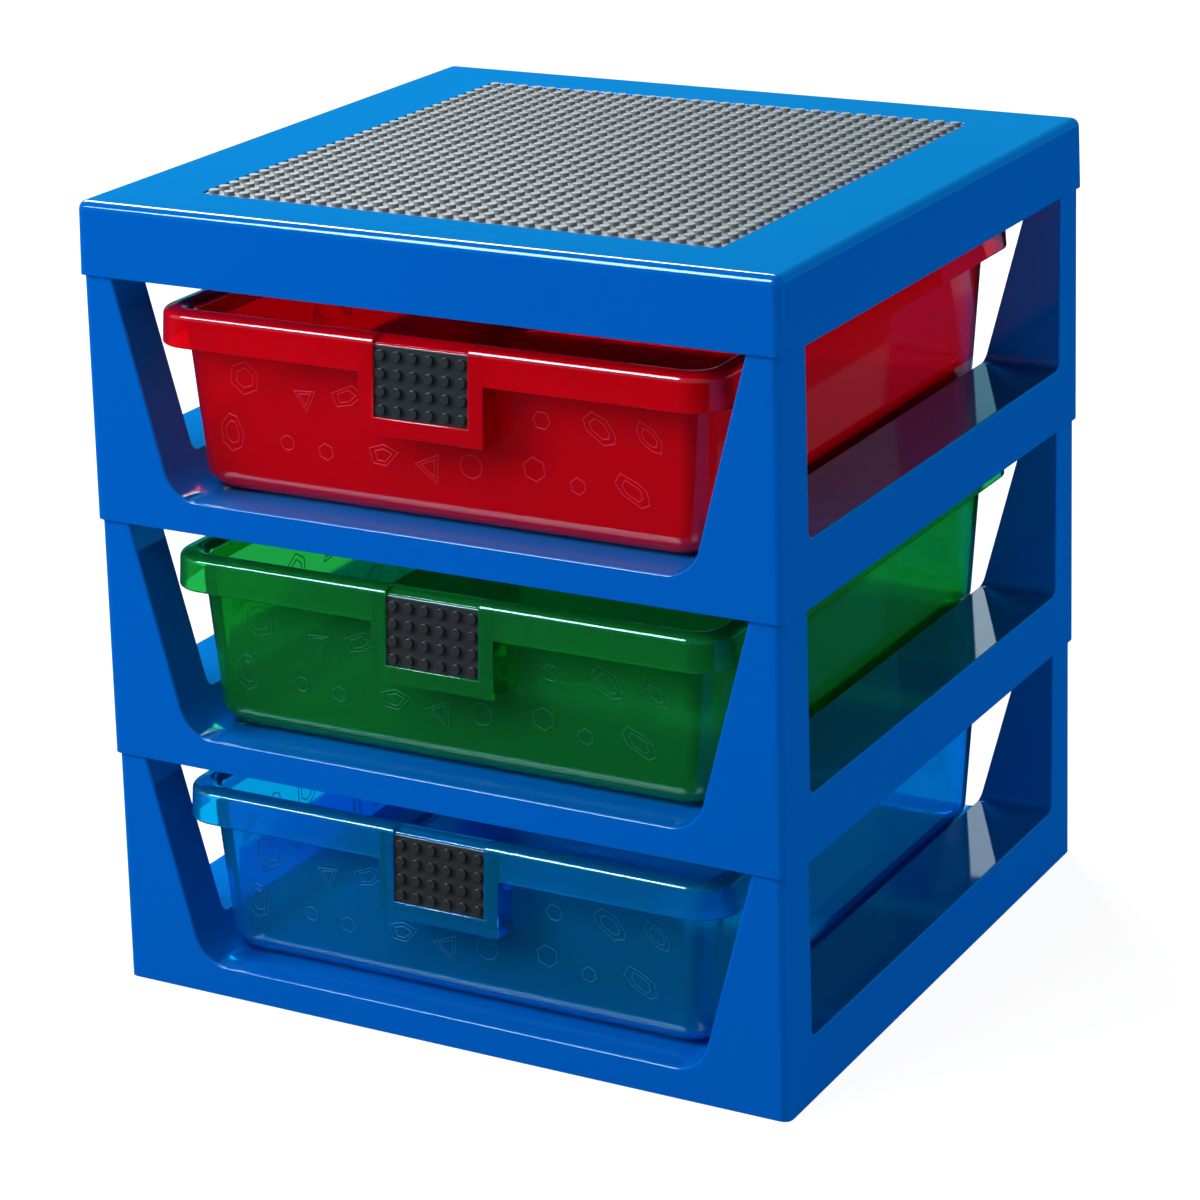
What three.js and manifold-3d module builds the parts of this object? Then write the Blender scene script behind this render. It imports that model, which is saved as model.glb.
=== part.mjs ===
// Three-drawer storage unit for small parts and toys, as a stack of moulded pieces.
// Three equal open tiers stand on each other and a lid closes the stack. Each tier has four corner
// posts round a floor, a drawer bay that is open at the front and the back, and a window in each side.
// A tub drawer slides in each bay and carries a studded plate in the frame of its handle. A large
// studded plate lies in a recess in the lid.
// Millimetres. +X is the unit's right side as seen from the front, -Y is the front and +Z is up.
// The origin is at the middle of the footprint, on the surface that the unit stands on.

import * as THREE from 'three';
import { mergeVertices } from 'three/addons/utils/BufferGeometryUtils.js';
import Module from 'manifold-3d';

const wasm = await Module();
wasm.setup();

// Tier, measured at its foot. The draft narrows it towards its top, on each side.
const TIER_WIDTH = 346;
const TIER_DEPTH = 326;
const TIER_HEIGHT = 113.7;
const TIER_DRAFT = 1.4;
const TIER_CORNER_RADIUS = 4.6;
const TIER_WALL = 2.6;
const TIER_NAMES = ['lower', 'middle', 'upper'];

// Drawer bay: a channel from front to back with leaning sides and a rounded foot on each side. Each
// side stands this far in from the tier's side at its top, and leans in by the run down to the floor.
const BAY_SIDE = 17;
const BAY_LEAN_RUN = 26;
const BAY_FILLET = 17;
const FLOOR_HEIGHT = 14.6;

// Window in each side of a tier, between the front and the back posts
const LEDGE_HEIGHT = 30;
const POST_DEPTH = 24.6;
const WINDOW_FILLET = 4.2;

// Plugs on top of the posts, which enter the hollow of the piece above
const PLUG_HEIGHT = 6;
const PLUG_MARGIN = 2;
const PLUG_CLEARANCE = 0.3;

// Ribs under a tier's floor
const RIB_THICKNESS = 2;
const RIB_HEIGHT = 3.4;
const RIB_PITCH = 72;
const LENGTHWISE_RIBS = 3;
const CROSSWISE_RIBS = 3;

// Lid, with the same footprint as a tier's foot
const LID_HEIGHT = 33.3;
const LID_DRAFT = 0.8;
const LID_WALL = 2.6;
const LID_EDGE_RADIUS = 4.2;

// Studs and the studded plates. The large plate is a slab up to its stud tops.
const STUD_PITCH = 8;
const STUD_DIAMETER = 4.8;
const STUD_HEIGHT = 1.8;
const PLATE_THICKNESS = 3.2;
const PLATE_CORNER_RADIUS = 3;
const PLATE_CLEARANCE = 0.3;
const TOP_PLATE_STUDS = 32;
const TOP_PLATE_SINK = 0.7;
const HANDLE_PLATE_COLUMNS = 6;
const HANDLE_PLATE_ROWS = 4;
const HANDLE_PLATE_CORNER_RADIUS = 0.6;

// Drawer, measured over its rim. The rim's lip hangs down round the body. The room that the rim leaves
// is given on each side at the bay's top, over the rim, and in all along the tier's depth.
const DRAWER_SIDE_ROOM = 15;
const DRAWER_HEADROOM = 13.2;
const DRAWER_END_ROOM = 5;
const DRAWER_WALL = 2.2;
const DRAWER_SETBACK = 4.1;
const DRAWER_FLOOR_GAP = 0.4;
const DRAWER_BODY_RADIUS = 12;
const DRAWER_BOTTOM_RADIUS = 11;
const BODY_TAPER = 3.1;
const RIM_OVERHANG = 10.4;
const RIM_RADIUS = 18.5;
const RIM_EDGE_RADIUS = 3;
const RIM_CROWN = 0.7;
const RIM_INNER_RADIUS = 5.7;
const LIP_HEIGHT = 16.4;
const LIP_DRAFT = 0.9;

// Where each drawer stands in the side play of its bay
const DRAWER_SHIFTS = { lower: -1.6, middle: 0.3, upper: 0 };

// Handle: a frame that drops from the rim's front, level with the lip's face, with the small plate
// behind its window. A slope leads from the window's upper edge up to the rim's crest.
const HANDLE_WIDTH = 62;
const HANDLE_DROP = 27;
const HANDLE_SILL = 8.3;
const HANDLE_LIP_THICKNESS = 1.2;
const HANDLE_LIP_WIDTH = 0.7;
const HANDLE_EDGE_HEIGHT = 0.8;

// Facets of the round parts
const CORNER_STEPS = 6;
const FILLET_STEPS = 8;
const EDGE_STEPS = 4;
const STUD_SIDES = 10;

// How far a cut runs past the face that it opens
const OVERRUN = 5;

// Colours as seen in the photograph, and finishes
const FRAME_BLUE = 0x0057b7;
const PLATE_GREY = 0x9e9c9c;
const HANDLE_BLACK = 0x2b2b2d;
const DRAWER_COLOURS = { lower: 0x0084c8, middle: 0x00843c, upper: 0xb80014 };
const FRAME_ROUGHNESS = 0.18;
const PLATE_ROUGHNESS = 0.4;
const HANDLE_ROUGHNESS = 0.35;
const DRAWER_ROUGHNESS = 0.1;
const DRAWER_OPACITY = 0.75;

const BAY_TOP_WIDTH = TIER_WIDTH - 2 * BAY_SIDE;
const BAY_LEAN = Math.atan(BAY_LEAN_RUN / (TIER_HEIGHT - FLOOR_HEIGHT));
const CUTTER_TOP = TIER_HEIGHT + PLUG_HEIGHT + OVERRUN;
const DRAWER_WIDTH = BAY_TOP_WIDTH - 2 * DRAWER_SIDE_ROOM;
const DRAWER_LENGTH = TIER_DEPTH - DRAWER_END_ROOM;
const DRAWER_HEIGHT = TIER_HEIGHT - FLOOR_HEIGHT - DRAWER_FLOOR_GAP - DRAWER_HEADROOM;
const LIP_FOOT = DRAWER_HEIGHT - LIP_HEIGHT;
const LIP_EDGE = DRAWER_HEIGHT - RIM_CROWN - RIM_EDGE_RADIUS;
const LIP_LEAN = Math.atan2(LIP_DRAFT, LIP_EDGE - LIP_FOOT);
const DRAWER_CENTRE_Y = DRAWER_SETBACK + (DRAWER_LENGTH - TIER_DEPTH) / 2;
const TOP_PLATE_SIDE = TOP_PLATE_STUDS * STUD_PITCH;
const HANDLE_PLATE_WIDTH = HANDLE_PLATE_COLUMNS * STUD_PITCH;
const HANDLE_PLATE_HEIGHT = HANDLE_PLATE_ROWS * STUD_PITCH;
const HANDLE_PLATE_FOOT = HANDLE_SILL - HANDLE_DROP - HANDLE_LIP_WIDTH;
const HANDLE_PLATE_DEPTH = HANDLE_LIP_THICKNESS + PLATE_CLEARANCE;

// Plan axes of a section drawn across the unit's width, and of one drawn along its depth
const ACROSS = new THREE.Matrix4().makeBasis(
  new THREE.Vector3(1, 0, 0),
  new THREE.Vector3(0, 0, 1),
  new THREE.Vector3(0, -1, 0),
);
const ALONG = new THREE.Matrix4().makeBasis(
  new THREE.Vector3(0, 1, 0),
  new THREE.Vector3(0, 0, 1),
  new THREE.Vector3(1, 0, 0),
);

// Turns a closed mesh into a solid for joining and cutting
function solidOf(geometry) {
  const bare = geometry.clone();
  bare.deleteAttribute('normal');
  bare.deleteAttribute('uv');
  const merged = mergeVertices(bare);
  const mesh = new wasm.Mesh({
    numProp: 3,
    vertProperties: new Float32Array(merged.attributes.position.array),
    triVerts: new Uint32Array(merged.index.array),
  });
  return new wasm.Manifold(mesh);
}

// Turns a solid back into a mesh with flat faces
function geometryOf(solid) {
  const { vertProperties, triVerts } = solid.getMesh();
  const indexed = new THREE.BufferGeometry();
  indexed.setAttribute('position', new THREE.BufferAttribute(new Float32Array(vertProperties), 3));
  indexed.setIndex(new THREE.BufferAttribute(new Uint32Array(triVerts), 1));
  const flat = indexed.toNonIndexed();
  flat.computeVertexNormals();
  return flat;
}

// Points of an arc, both ends included
function arcPoints(x, y, radius, from, to, steps) {
  const points = [];
  for (let i = 0; i <= steps; i += 1) {
    const angle = from + ((to - from) * i) / steps;
    points.push(new THREE.Vector2(x + radius * Math.cos(angle), y + radius * Math.sin(angle)));
  }
  return points;
}

// Corners of a rounded rectangle round the origin, anticlockwise
function roundedRectangle(width, depth, radius) {
  const x = width / 2 - radius;
  const y = depth / 2 - radius;
  const quarter = Math.PI / 2;
  return [
    ...arcPoints(x, y, radius, 0, quarter, CORNER_STEPS),
    ...arcPoints(-x, y, radius, quarter, 2 * quarter, CORNER_STEPS),
    ...arcPoints(-x, -y, radius, 2 * quarter, 3 * quarter, CORNER_STEPS),
    ...arcPoints(x, -y, radius, 3 * quarter, 4 * quarter, CORNER_STEPS),
  ];
}

// Skin through a list of rings, each { width, depth, radius, z }, closed by a cap on the first
// ring and one on the last. The first ring's cap looks down and the last one's looks up.
function loft(rings) {
  const outlines = rings.map((ring) => roundedRectangle(ring.width, ring.depth, ring.radius));
  const count = outlines[0].length;
  const positions = [];
  outlines.forEach((outline, i) => {
    outline.forEach((point) => positions.push(point.x, point.y, rings[i].z));
  });
  const faces = [];
  for (let i = 0; i + 1 < rings.length; i += 1) {
    for (let k = 0; k < count; k += 1) {
      const next = (k + 1) % count;
      const [a, b] = [i * count + k, i * count + next];
      faces.push(a, b, b + count, a, b + count, a + count);
    }
  }
  const last = (rings.length - 1) * count;
  for (let k = 1; k + 1 < count; k += 1) {
    faces.push(0, k + 1, k);
    faces.push(last, last + k, last + k + 1);
  }
  const geometry = new THREE.BufferGeometry();
  geometry.setAttribute('position', new THREE.Float32BufferAttribute(positions, 3));
  geometry.setIndex(faces);
  return geometry;
}

// Box between two corners
function block(low, high) {
  const size = new THREE.Vector3().subVectors(high, low);
  const centre = new THREE.Vector3().addVectors(low, high).multiplyScalar(1 / 2);
  return new THREE.BoxGeometry(size.x, size.y, size.z).translate(centre.x, centre.y, centre.z);
}

// Upright box with rounded corners, from one height to another
function roundedBlock(width, depth, radius, bottom, top) {
  return loft([
    { width, depth, radius, z: bottom },
    { width, depth, radius, z: top },
  ]);
}

// Prism of an outline, as long as length and centred on the origin, turned into place
function prism(outline, length, axes) {
  const shape = new THREE.Shape(outline);
  const geometry = new THREE.ExtrudeGeometry(shape, { depth: length, bevelEnabled: false });
  return geometry.translate(0, 0, -length / 2).applyMatrix4(axes);
}

// Half width of the bay's flat floor, between its rounded sides
function bayFloorHalf() {
  const corner = BAY_TOP_WIDTH / 2 - BAY_LEAN_RUN;
  return corner - BAY_FILLET * Math.tan((Math.PI / 2 - BAY_LEAN) / 2);
}

// Outline of the drawer bay across the unit, grown on all its sides
function bayOutline(grow) {
  const radius = BAY_FILLET + grow;
  const halfTop = BAY_TOP_WIDTH / 2 + grow / Math.cos(BAY_LEAN);
  const overrunTop = halfTop + (PLUG_HEIGHT + OVERRUN) * Math.tan(BAY_LEAN);
  const [x, z] = [bayFloorHalf(), FLOOR_HEIGHT + BAY_FILLET];
  return [
    new THREE.Vector2(-overrunTop, CUTTER_TOP),
    ...arcPoints(-x, z, radius, Math.PI + BAY_LEAN, (3 * Math.PI) / 2, FILLET_STEPS),
    ...arcPoints(x, z, radius, -Math.PI / 2, -BAY_LEAN, FILLET_STEPS),
    new THREE.Vector2(overrunTop, CUTTER_TOP),
  ];
}

// Outline of the side windows along the unit, grown on all their sides
function windowOutline(grow) {
  const half = TIER_DEPTH / 2 - POST_DEPTH + grow;
  const ledge = LEDGE_HEIGHT - grow;
  const radius = WINDOW_FILLET + grow;
  return [
    new THREE.Vector2(-half, CUTTER_TOP),
    ...arcPoints(radius - half, ledge + radius, radius, Math.PI, (3 * Math.PI) / 2, FILLET_STEPS),
    ...arcPoints(half - radius, ledge + radius, radius, -Math.PI / 2, 0, FILLET_STEPS),
    new THREE.Vector2(half, CUTTER_TOP),
  ];
}

// The bay and the windows as one cutter
function tierCutter(grow) {
  const bay = prism(bayOutline(grow), TIER_DEPTH + 2 * OVERRUN, ACROSS);
  const windows = prism(windowOutline(grow), TIER_WIDTH + 2 * OVERRUN, ALONG);
  return solidOf(bay).add(solidOf(windows));
}

// Hollow inside a drafted shell with the tier's footprint, open at its foot
function shellHollow(height, draft, wall) {
  const radius = TIER_CORNER_RADIUS - wall;
  const ring = (z) => ({
    width: TIER_WIDTH - 2 * (wall + (draft * z) / height),
    depth: TIER_DEPTH - 2 * (wall + (draft * z) / height),
    radius,
    z,
  });
  return solidOf(loft([ring(-OVERRUN), ring(height - wall)]));
}

// Ribs that stiffen the floor from below
function floorRibs() {
  const low = FLOOR_HEIGHT - TIER_WALL - RIB_HEIGHT;
  const high = FLOOR_HEIGHT - TIER_WALL / 2;
  const endX = bayFloorHalf();
  const endY = (TIER_DEPTH - TIER_WALL - TIER_DRAFT) / 2;
  const half = RIB_THICKNESS / 2;
  const ribs = [];
  for (let i = 0; i < LENGTHWISE_RIBS; i += 1) {
    const x = RIB_PITCH * (i - (LENGTHWISE_RIBS - 1) / 2);
    ribs.push(block(new THREE.Vector3(x - half, -endY, low), new THREE.Vector3(x + half, endY, high)));
  }
  for (let i = 0; i < CROSSWISE_RIBS; i += 1) {
    const y = RIB_PITCH * (i - (CROSSWISE_RIBS - 1) / 2);
    ribs.push(block(new THREE.Vector3(-endX, y - half, low), new THREE.Vector3(endX, y + half, high)));
  }
  return ribs.map(solidOf);
}

// Plugs on the four posts, inside the walls of the piece above
function postPlugs() {
  const inset = TIER_WALL + PLUG_CLEARANCE;
  const slab = roundedBlock(
    TIER_WIDTH - 2 * inset,
    TIER_DEPTH - 2 * inset,
    TIER_CORNER_RADIUS - TIER_WALL,
    TIER_HEIGHT - TIER_WALL / 2,
    TIER_HEIGHT + PLUG_HEIGHT,
  );
  return solidOf(slab).subtract(tierCutter(PLUG_MARGIN));
}

// One tier: an even shell under the floor, the ledges and the posts
function tierGeometry() {
  const foot = { width: TIER_WIDTH, depth: TIER_DEPTH, radius: TIER_CORNER_RADIUS, z: 0 };
  const top = {
    width: TIER_WIDTH - 2 * TIER_DRAFT,
    depth: TIER_DEPTH - 2 * TIER_DRAFT,
    radius: TIER_CORNER_RADIUS,
    z: TIER_HEIGHT,
  };
  const hollow = shellHollow(TIER_HEIGHT, TIER_DRAFT, TIER_WALL).subtract(tierCutter(TIER_WALL));
  let tier = solidOf(loft([foot, top])).subtract(tierCutter(0)).subtract(hollow);
  for (const piece of [...floorRibs(), postPlugs()]) {
    tier = tier.add(piece);
  }
  return geometryOf(tier);
}

// Recess for the large plate, grown on all its sides
function plateRecess(grow) {
  const side = TOP_PLATE_SIDE + 2 * (PLATE_CLEARANCE + grow);
  const radius = PLATE_CORNER_RADIUS + PLATE_CLEARANCE + grow;
  const seat = LID_HEIGHT - TOP_PLATE_SINK - PLATE_THICKNESS - PLATE_CLEARANCE - grow;
  return solidOf(roundedBlock(side, side, radius, seat, LID_HEIGHT + OVERRUN));
}

// Lid: a shallow cap with rounded upper edges, hollow below, round a tray for the plate
function lidGeometry() {
  const rings = [{ width: TIER_WIDTH, depth: TIER_DEPTH, radius: TIER_CORNER_RADIUS, z: 0 }];
  const edgeRadius = LID_EDGE_RADIUS;
  const edge = arcPoints(edgeRadius, -edgeRadius, edgeRadius, Math.PI, Math.PI / 2, EDGE_STEPS);
  for (const point of edge) {
    const inset = LID_DRAFT + point.x;
    rings.push({
      width: TIER_WIDTH - 2 * inset,
      depth: TIER_DEPTH - 2 * inset,
      radius: TIER_CORNER_RADIUS - point.x,
      z: LID_HEIGHT + point.y,
    });
  }
  const hollow = shellHollow(LID_HEIGHT, LID_DRAFT, LID_WALL).subtract(plateRecess(LID_WALL));
  return geometryOf(solidOf(loft(rings)).subtract(hollow).subtract(plateRecess(0)));
}

// Large plate: a plain slab from its seat up to the level of its stud tops
function topPlateGeometry() {
  const height = PLATE_THICKNESS + STUD_HEIGHT;
  return roundedBlock(TOP_PLATE_SIDE, TOP_PLATE_SIDE, PLATE_CORNER_RADIUS, 0, height);
}

// Small plate for a handle, standing with its studs to the front
function handlePlateGeometry() {
  const slab = roundedBlock(
    HANDLE_PLATE_WIDTH,
    HANDLE_PLATE_HEIGHT,
    HANDLE_PLATE_CORNER_RADIUS,
    0,
    PLATE_THICKNESS,
  );
  let plate = solidOf(slab);
  const length = PLATE_THICKNESS / 2 + STUD_HEIGHT;
  const middle = PLATE_THICKNESS + STUD_HEIGHT - length / 2;
  for (let column = 0; column < HANDLE_PLATE_COLUMNS; column += 1) {
    for (let row = 0; row < HANDLE_PLATE_ROWS; row += 1) {
      const x = STUD_PITCH * (column - (HANDLE_PLATE_COLUMNS - 1) / 2);
      const y = STUD_PITCH * (row - (HANDLE_PLATE_ROWS - 1) / 2);
      const stud = new THREE.CylinderGeometry(STUD_DIAMETER / 2, STUD_DIAMETER / 2, length, STUD_SIDES);
      plate = plate.add(solidOf(stud.rotateX(Math.PI / 2).translate(x, y, middle)));
    }
  }
  return geometryOf(plate).rotateX(Math.PI / 2);
}

// Ring of a drawer at a distance inside the lip's foot
function drawerRing(inset, z) {
  return {
    width: DRAWER_WIDTH - 2 * inset,
    depth: DRAWER_LENGTH - 2 * inset,
    radius: Math.max(RIM_RADIUS - inset, DRAWER_BODY_RADIUS),
    z,
  };
}

// Rings of a section whose points hold an inset and a height
function drawerRings(points) {
  return points.map((point) => drawerRing(point.x, point.y));
}

// Tub with its turned-down rim, as one skin from the outer bottom, over the rim, to the inner one
function tubGeometry() {
  const bodyFoot = RIM_OVERHANG + BODY_TAPER;
  const centre = bodyFoot + DRAWER_BOTTOM_RADIUS;
  const innerRadius = DRAWER_BOTTOM_RADIUS - DRAWER_WALL;
  const crest = RIM_OVERHANG + DRAWER_WALL - RIM_INNER_RADIUS;
  const underRim = DRAWER_HEIGHT - RIM_CROWN - DRAWER_WALL;
  const innerTop = DRAWER_HEIGHT - RIM_INNER_RADIUS;
  const lipInside = LIP_DRAFT + DRAWER_WALL;
  const quarter = Math.PI / 2;
  const section = [
    ...arcPoints(centre, DRAWER_BOTTOM_RADIUS, DRAWER_BOTTOM_RADIUS, 3 * quarter, 2 * quarter, CORNER_STEPS),
    new THREE.Vector2(RIM_OVERHANG, LIP_FOOT),
    new THREE.Vector2(RIM_OVERHANG, underRim),
    new THREE.Vector2(lipInside, underRim),
    new THREE.Vector2(DRAWER_WALL, LIP_FOOT),
    new THREE.Vector2(0, LIP_FOOT),
    ...arcPoints(LIP_DRAFT + RIM_EDGE_RADIUS, LIP_EDGE, RIM_EDGE_RADIUS, 2 * quarter, quarter, EDGE_STEPS),
    ...arcPoints(crest, innerTop, RIM_INNER_RADIUS, quarter, 0, EDGE_STEPS),
    ...arcPoints(centre, DRAWER_BOTTOM_RADIUS, innerRadius, 2 * quarter, 3 * quarter, CORNER_STEPS),
  ];
  return loft(drawerRings(section));
}

// Places a piece of the handle, drawn with its front face on y = 0 and the lip's foot on z = 0
function handlePlace() {
  const place = new THREE.Matrix4().makeTranslation(0, -DRAWER_LENGTH / 2, LIP_FOOT);
  return place.multiply(new THREE.Matrix4().makeRotationX(-LIP_LEAN));
}

// Frame of the handle, a block whose section runs from the lip's face back into the body's wall
function handleBlock() {
  const foot = LIP_FOOT - HANDLE_DROP;
  const wall = RIM_OVERHANG + DRAWER_WALL / 2;
  const taper = (BODY_TAPER * HANDLE_DROP) / (LIP_FOOT - DRAWER_BOTTOM_RADIUS);
  const section = [
    new THREE.Vector2(-HANDLE_DROP * Math.tan(LIP_LEAN), foot),
    new THREE.Vector2(wall + taper, foot),
    new THREE.Vector2(wall, LIP_FOOT),
    new THREE.Vector2(wall, LIP_EDGE),
    new THREE.Vector2(LIP_DRAFT, LIP_EDGE),
  ];
  return solidOf(prism(section, HANDLE_WIDTH, ALONG).translate(0, -DRAWER_LENGTH / 2, 0));
}

// Cuts in the handle: the window, the seat of the plate and the slope above the window
function handleCuts() {
  const windowHalf = HANDLE_PLATE_WIDTH / 2 - HANDLE_LIP_WIDTH;
  const seatHalf = HANDLE_PLATE_WIDTH / 2 + PLATE_CLEARANCE;
  const seatTop = HANDLE_PLATE_FOOT + HANDLE_PLATE_HEIGHT + PLATE_CLEARANCE;
  const seatBack = HANDLE_PLATE_DEPTH + PLATE_THICKNESS + PLATE_CLEARANCE;
  const edge = seatTop + HANDLE_EDGE_HEIGHT;
  const crest = RIM_OVERHANG + DRAWER_WALL - RIM_INNER_RADIUS;
  const opening = block(
    new THREE.Vector3(-windowHalf, -OVERRUN, HANDLE_PLATE_FOOT + HANDLE_LIP_WIDTH),
    new THREE.Vector3(windowHalf, HANDLE_PLATE_DEPTH, edge),
  );
  const seat = block(
    new THREE.Vector3(-seatHalf, HANDLE_LIP_THICKNESS, HANDLE_PLATE_FOOT - PLATE_CLEARANCE),
    new THREE.Vector3(seatHalf, seatBack, seatTop),
  );
  const slope = new THREE.Shape([
    new THREE.Vector2(-OVERRUN, edge),
    new THREE.Vector2(HANDLE_PLATE_DEPTH, edge),
    new THREE.Vector2(crest, LIP_HEIGHT),
    new THREE.Vector2(crest, LIP_HEIGHT + OVERRUN),
    new THREE.Vector2(-OVERRUN, LIP_HEIGHT + OVERRUN),
  ]);
  const wedge = new THREE.ExtrudeGeometry(slope, { depth: 2 * windowHalf, bevelEnabled: false });
  wedge.translate(0, 0, -windowHalf).applyMatrix4(ALONG);
  return [opening, seat, wedge].map((cut) => solidOf(cut.applyMatrix4(handlePlace())));
}

// One drawer with its handle frame
function drawerGeometry() {
  let drawer = solidOf(tubGeometry()).add(handleBlock());
  for (const cut of handleCuts()) {
    drawer = drawer.subtract(cut);
  }
  return geometryOf(drawer);
}

// Glossy or satin moulded plastic
function plastic(color, roughness, opacity = 1) {
  return new THREE.MeshStandardMaterial({
    color,
    roughness,
    metalness: 0,
    transparent: opacity < 1,
    opacity,
  });
}

const part = new THREE.Group();
const tierShape = tierGeometry();
const drawerShape = drawerGeometry();
const handlePlateShape = handlePlateGeometry();

TIER_NAMES.forEach((name, level) => {
  const tierGroup = new THREE.Group();
  tierGroup.position.z = level * TIER_HEIGHT;

  const tier = new THREE.Mesh(tierShape, plastic(FRAME_BLUE, FRAME_ROUGHNESS));
  tier.name = `tier_${name}`;
  tierGroup.add(tier);

  const drawerGroup = new THREE.Group();
  drawerGroup.position.set(DRAWER_SHIFTS[name], DRAWER_CENTRE_Y, FLOOR_HEIGHT + DRAWER_FLOOR_GAP);
  const finish = plastic(DRAWER_COLOURS[name], DRAWER_ROUGHNESS, DRAWER_OPACITY);
  const drawer = new THREE.Mesh(drawerShape, finish);
  drawer.name = `drawer_${name}`;
  drawerGroup.add(drawer);

  const plate = new THREE.Mesh(handlePlateShape, plastic(HANDLE_BLACK, HANDLE_ROUGHNESS));
  plate.name = `handle_plate_${name}`;
  const plateBack = HANDLE_PLATE_DEPTH + PLATE_THICKNESS;
  const plateMiddle = HANDLE_PLATE_FOOT + HANDLE_PLATE_HEIGHT / 2;
  plate.position.set(0, plateBack, plateMiddle).applyMatrix4(handlePlace());
  plate.rotation.x = -LIP_LEAN;
  drawerGroup.add(plate);

  tierGroup.add(drawerGroup);
  part.add(tierGroup);
});

const lidGroup = new THREE.Group();
lidGroup.position.z = TIER_NAMES.length * TIER_HEIGHT;
const lid = new THREE.Mesh(lidGeometry(), plastic(FRAME_BLUE, FRAME_ROUGHNESS));
lid.name = 'lid';
lidGroup.add(lid);

const studPlate = new THREE.Mesh(topPlateGeometry(), plastic(PLATE_GREY, PLATE_ROUGHNESS));
studPlate.name = 'stud_plate';
studPlate.position.z = LID_HEIGHT - TOP_PLATE_SINK - PLATE_THICKNESS;
lidGroup.add(studPlate);
part.add(lidGroup);

export default part;
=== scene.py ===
"""Looks of the three-drawer storage unit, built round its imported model.

The unit is a stack of moulded tiers under a lid with a large studded plate. A translucent tub drawer
slides in each tier. Sizes are in millimetres and repeat the model's, and every mesh is made in metres.
+X is the unit's right side as seen from the front, -Y is the front and +Z is up.
"""
import logging
import math
import random
from collections.abc import Callable, Iterable, Sequence
from dataclasses import dataclass, field
from enum import Enum

import bmesh
import bpy
from mathutils import Matrix, Vector


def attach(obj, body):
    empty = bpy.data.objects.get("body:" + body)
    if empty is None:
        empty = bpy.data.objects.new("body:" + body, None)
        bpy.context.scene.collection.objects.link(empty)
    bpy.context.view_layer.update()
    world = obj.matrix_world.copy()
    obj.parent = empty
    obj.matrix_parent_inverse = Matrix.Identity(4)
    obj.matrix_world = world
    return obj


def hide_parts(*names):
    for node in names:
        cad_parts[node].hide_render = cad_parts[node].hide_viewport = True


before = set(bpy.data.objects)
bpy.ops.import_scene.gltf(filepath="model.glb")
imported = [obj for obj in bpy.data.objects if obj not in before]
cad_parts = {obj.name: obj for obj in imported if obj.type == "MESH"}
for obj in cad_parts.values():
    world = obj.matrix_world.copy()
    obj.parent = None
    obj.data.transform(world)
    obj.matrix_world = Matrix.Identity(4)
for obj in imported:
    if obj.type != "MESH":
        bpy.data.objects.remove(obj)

LOG = logging.getLogger("storage_unit")
MM = 0.001
Point = tuple[float, float]
Place = tuple[float, float, float]
WHITE = (1.0, 1.0, 1.0, 1.0)


class Plane(Enum):
    """Plane in which an outline is drawn, with the direction in which it is then drawn out."""

    ACROSS = "x and z, drawn out along y"
    ALONG = "y and z, drawn out along x"


class Level(Enum):
    """Levels of the stack, from the ground up."""

    LOWER = 0
    MIDDLE = 1
    UPPER = 2

    @property
    def word(self) -> str:
        """Name of the level, as the model's nodes carry it."""
        return self.name.lower()


# Colour and nodes


def linear(hex_colour: str) -> tuple[float, float, float, float]:
    """Turns an sRGB colour into linear light.

    Args:
        hex_colour: Colour as six hexadecimal digits.

    Returns:
        Red, green, blue and an alpha of one.
    """
    channels = [int(hex_colour[i : i + 2], 16) / 255 for i in (0, 2, 4)]
    red, green, blue = (c / 12.92 if c <= 0.04045 else ((c + 0.055) / 1.055) ** 2.4 for c in channels)
    return red, green, blue, 1.0


def add_node(tree: bpy.types.NodeTree, kind: str, inputs: dict | None = None, **settings) -> bpy.types.Node:
    """Adds a node with its settings, values and links.

    Args:
        tree: Node tree that takes the node.
        kind: Blender's name of the node's type.
        inputs: Values or output sockets by the name or index of the input that takes them.
        settings: Properties of the node itself.

    Returns:
        The new node.
    """
    node = tree.nodes.new(kind)
    for name, value in settings.items():
        setattr(node, name, value)
    for key, value in (inputs or {}).items():
        if isinstance(value, bpy.types.NodeSocket):
            tree.links.new(value, node.inputs[key])
        else:
            node.inputs[key].default_value = value
    return node


def empty_tree(owner: bpy.types.Material | bpy.types.World) -> bpy.types.NodeTree:
    """Turns on the nodes of a material or a surround and clears them.

    Args:
        owner: Material or surround.

    Returns:
        Its empty node tree.
    """
    owner.use_nodes = True
    owner.node_tree.nodes.clear()
    return owner.node_tree


def seen_directly(tree: bpy.types.NodeTree) -> bpy.types.NodeSocket:
    """Tells the rays of the eye from those that light a surface.

    Args:
        tree: Node tree of the surround or the floor.

    Returns:
        One for what is seen directly or straight through clear walls, and nought for what lights a
        surface, is mirrored by it or comes down a path that a wall has mirrored inside.
    """
    path = add_node(tree, "ShaderNodeLightPath")
    turned = add_node(
        tree,
        "ShaderNodeMath",
        {0: path.outputs["Ray Depth"], 1: path.outputs["Transmission Depth"]},
        operation="SUBTRACT",
    )
    straight = add_node(tree, "ShaderNodeMath", {0: turned.outputs[0], 1: 0.5}, operation="LESS_THAN")
    through = add_node(
        tree,
        "ShaderNodeMath",
        {0: path.outputs["Is Transmission Ray"], 1: straight.outputs[0]},
        operation="MULTIPLY",
    )
    seen = add_node(
        tree, "ShaderNodeMath", {0: path.outputs["Is Camera Ray"], 1: through.outputs[0]}, operation="MAXIMUM"
    )
    return seen.outputs[0]


# Mesh building

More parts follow.
